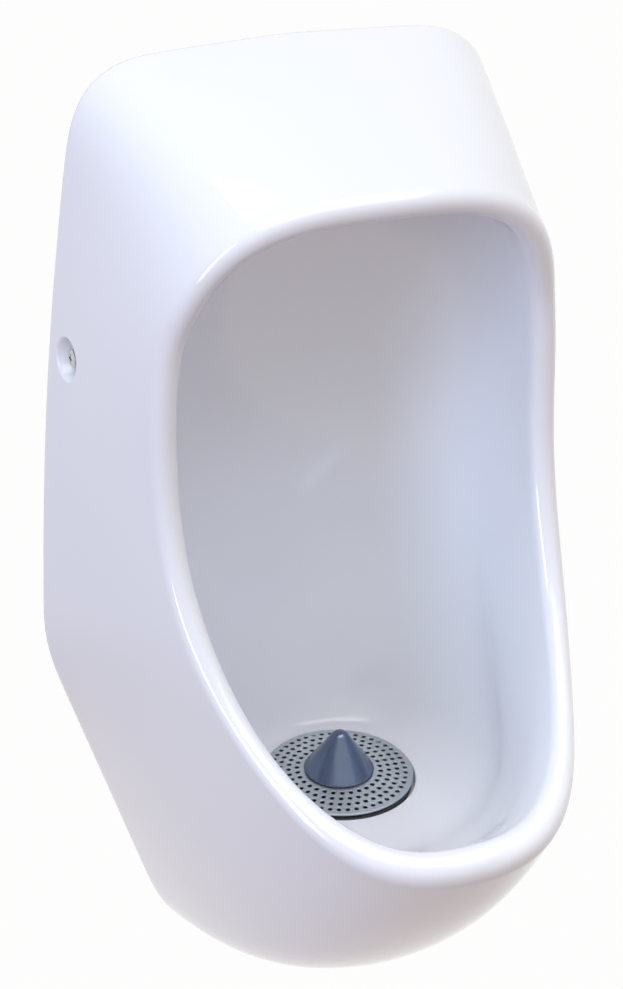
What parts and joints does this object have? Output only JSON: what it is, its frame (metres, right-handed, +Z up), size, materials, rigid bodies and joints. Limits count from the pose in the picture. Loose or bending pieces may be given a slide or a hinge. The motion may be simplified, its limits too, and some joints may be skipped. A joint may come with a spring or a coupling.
{
  "type": "wall hung urinal",
  "caption": "Waterless wall hung urinal in glazed china with a hooded bowl, a perforated strainer with a polished cone, a lift-out liquid trap, a waste outlet and concealed side fixings.",
  "frame": {"origin": "on the wall plane, in the middle of the lowest land of the china's back edge", "axes": "+Y into the wall, so the bowl opens towards -Y; +Z up; +X to the right seen from the front"},
  "size_m": [0.3364, 0.336, 0.6836],
  "materials": {
    "glazed_china": "clear gloss glaze over white vitreous china",
    "strainer_steel": "satin",
    "polished_cone": "polished",
    "seal_rubber": "matt",
    "screw_steel": "bright",
    "bell_plastic": "semi-gloss moulded",
    "cup_plastic": "moulded",
    "housing_plastic": "moulded",
    "nut_plastic": "moulded",
    "pipe_plastic": "extruded",
    "bracket_steel": "zinc plated",
    "bush_plastic": "moulded"
  },
  "bodies": {
    "fixed_body": {"urinal_body": "glazed_china", "trap_housing": "housing_plastic", "outlet_branch": "housing_plastic", "flange_seal": "seal_rubber", "backnut_washer": "seal_rubber", "backnut": "nut_plastic", "outlet_seal": "seal_rubber", "outlet_nut": "nut_plastic", "waste_pipe": "pipe_plastic", "bracket_left": "bracket_steel", "clip_nut_left": "bracket_steel", "side_bush_left": "bush_plastic", "side_screw_left": "screw_steel", "bracket_right": "bracket_steel", "clip_nut_right": "bracket_steel", "side_bush_right": "bush_plastic", "side_screw_right": "screw_steel"},
    "trap_insert": {"trap_cup": "cup_plastic", "trap_standpipe": "cup_plastic", "cup_oring_lower": "seal_rubber", "cup_oring_upper": "seal_rubber"},
    "strainer": {"strainer_plate": "strainer_steel", "strainer_cone": "polished_cone", "cone_gasket": "seal_rubber", "cone_screw": "screw_steel", "dip_bell": "bell_plastic"}
  },
  "joints": [
    {"name": "trap_insert_lift", "type": "slide", "parent": "fixed_body", "child": "trap_insert", "axis": [0, 0, 1], "range_m": [0, 0.14]},
    {"name": "strainer_lift", "type": "slide", "parent": "trap_insert", "child": "strainer", "axis": [0, 0, 1], "range_m": [0, 0.14]}
  ]
}
